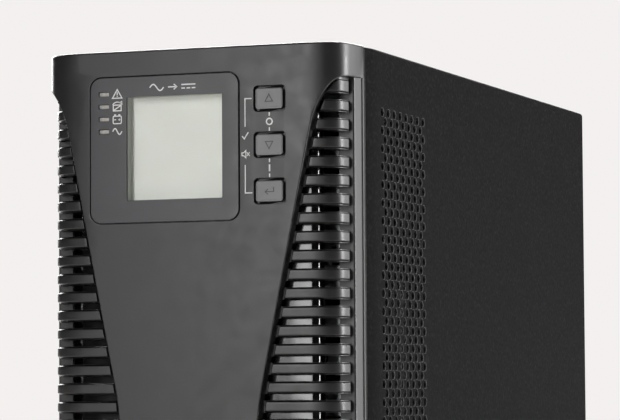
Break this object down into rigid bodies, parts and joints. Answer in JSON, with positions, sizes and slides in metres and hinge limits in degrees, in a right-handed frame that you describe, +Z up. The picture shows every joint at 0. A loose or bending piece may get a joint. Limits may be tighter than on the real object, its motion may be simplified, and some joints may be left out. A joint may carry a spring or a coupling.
{
  "type": "uninterruptible power supply",
  "caption": "Tower UPS: black louvred bezel with screen and keys, steel cover, batteries and power boards inside, fans, outlets and inlet at the rear.",
  "frame": {"origin": "centre of the footprint on the floor", "axes": "+X right as seen from the front, +Y from the front bezel to the rear panel, +Z up"},
  "size_m": [0.19, 0.4638, 0.337],
  "materials": {
    "bezel_plastic": "black moulded ABS, fine satin texture",
    "glossy_plastic": "black, glossy",
    "display_plastic": "dark grey overlay, satin",
    "clear_plastic": "clear, polished",
    "screen": "pale grey-green screen in a light holder",
    "light_guide": "milky light guide",
    "circuit_board": "green solder mask",
    "key_plastic": "mid grey, satin",
    "black_steel": "black powder coat, fine texture",
    "zinc_steel": "bright zinc-coated sheet",
    "rubber": "black, matte",
    "battery_case": "dark grey case",
    "aluminium": "mill finish",
    "sleeve": "black shrink sleeve",
    "copper": "enamelled copper winding",
    "ferrite": "dark ferrite and tape",
    "dark_plastic": "black, satin",
    "chrome": "bright plated",
    "red_plastic": "red, satin"
  },
  "bodies": {
    "chassis": {"front_bezel": "bezel_plastic", "inner_baffle_left": "glossy_plastic", "inner_baffle_right": "glossy_plastic", "display_frame": "display_plastic", "lcd_lens": "clear_plastic", "lcd_module": "screen", "led_light_bar": "light_guide", "display_board": "circuit_board", "power_board": "circuit_board", "control_board": "circuit_board", "top_cover": "black_steel", "base_pan": "black_steel", "rear_panel": "black_steel", "slot_cover": "black_steel", "front_plate": "zinc_steel", "mid_shelf": "zinc_steel", "battery_tray": "zinc_steel", "battery_retainer": "zinc_steel", "foot_1": "rubber", "foot_2": "rubber", "foot_3": "rubber", "foot_4": "rubber", "battery_1": "battery_case", "battery_2": "battery_case", "battery_3": "battery_case", "battery_4": "battery_case", "battery_5": "battery_case", "battery_6": "battery_case", "heatsink_left": "aluminium", "heatsink_right": "aluminium", "bulk_capacitor_1": "sleeve", "bulk_capacitor_2": "sleeve", "bulk_capacitor_3": "sleeve", "pfc_inductor": "copper", "output_inductor": "copper", "charger_transformer": "ferrite", "fan_frame_left": "dark_plastic", "fan_frame_right": "dark_plastic", "outlet_1": "dark_plastic", "outlet_2": "dark_plastic", "outlet_3": "dark_plastic", "outlet_4": "dark_plastic", "high_current_outlet": "dark_plastic", "power_inlet": "dark_plastic", "breaker_body": "dark_plastic", "fan_guard_left": "chrome", "fan_guard_right": "chrome", "usb_port": "chrome", "serial_port": "chrome", "earth_screw": "chrome"},
    "key_up": {"key_up": "key_plastic"},
    "key_down": {"key_down": "key_plastic"},
    "key_enter": {"key_enter": "key_plastic"},
    "fan_rotor_left": {"fan_rotor_left": "dark_plastic"},
    "fan_rotor_right": {"fan_rotor_right": "dark_plastic"},
    "breaker_button": {"breaker_button": "red_plastic"}
  },
  "joints": [
    {"name": "key_up_press", "type": "slide", "parent": "chassis", "child": "key_up", "axis": [0, 1, 0], "range_m": [0, 0.0012], "stiffness_N_per_m": 800},
    {"name": "key_down_press", "type": "slide", "parent": "chassis", "child": "key_down", "axis": [0, 1, 0], "range_m": [0, 0.0012], "stiffness_N_per_m": 800},
    {"name": "key_enter_press", "type": "slide", "parent": "chassis", "child": "key_enter", "axis": [0, 1, 0], "range_m": [0, 0.0012], "stiffness_N_per_m": 800},
    {"name": "fan_spin_left", "type": "hinge", "parent": "chassis", "child": "fan_rotor_left", "pos_m": [-0.0435, 0.2109, 0.243], "axis": [0, 1, 0], "continuous": true},
    {"name": "fan_spin_right", "type": "hinge", "parent": "chassis", "child": "fan_rotor_right", "pos_m": [0.0435, 0.2109, 0.243], "axis": [0, 1, 0], "continuous": true},
    {"name": "breaker_button_travel", "type": "slide", "parent": "chassis", "child": "breaker_button", "axis": [0, 1, 0], "range_m": [0, 0.004]}
  ]
}
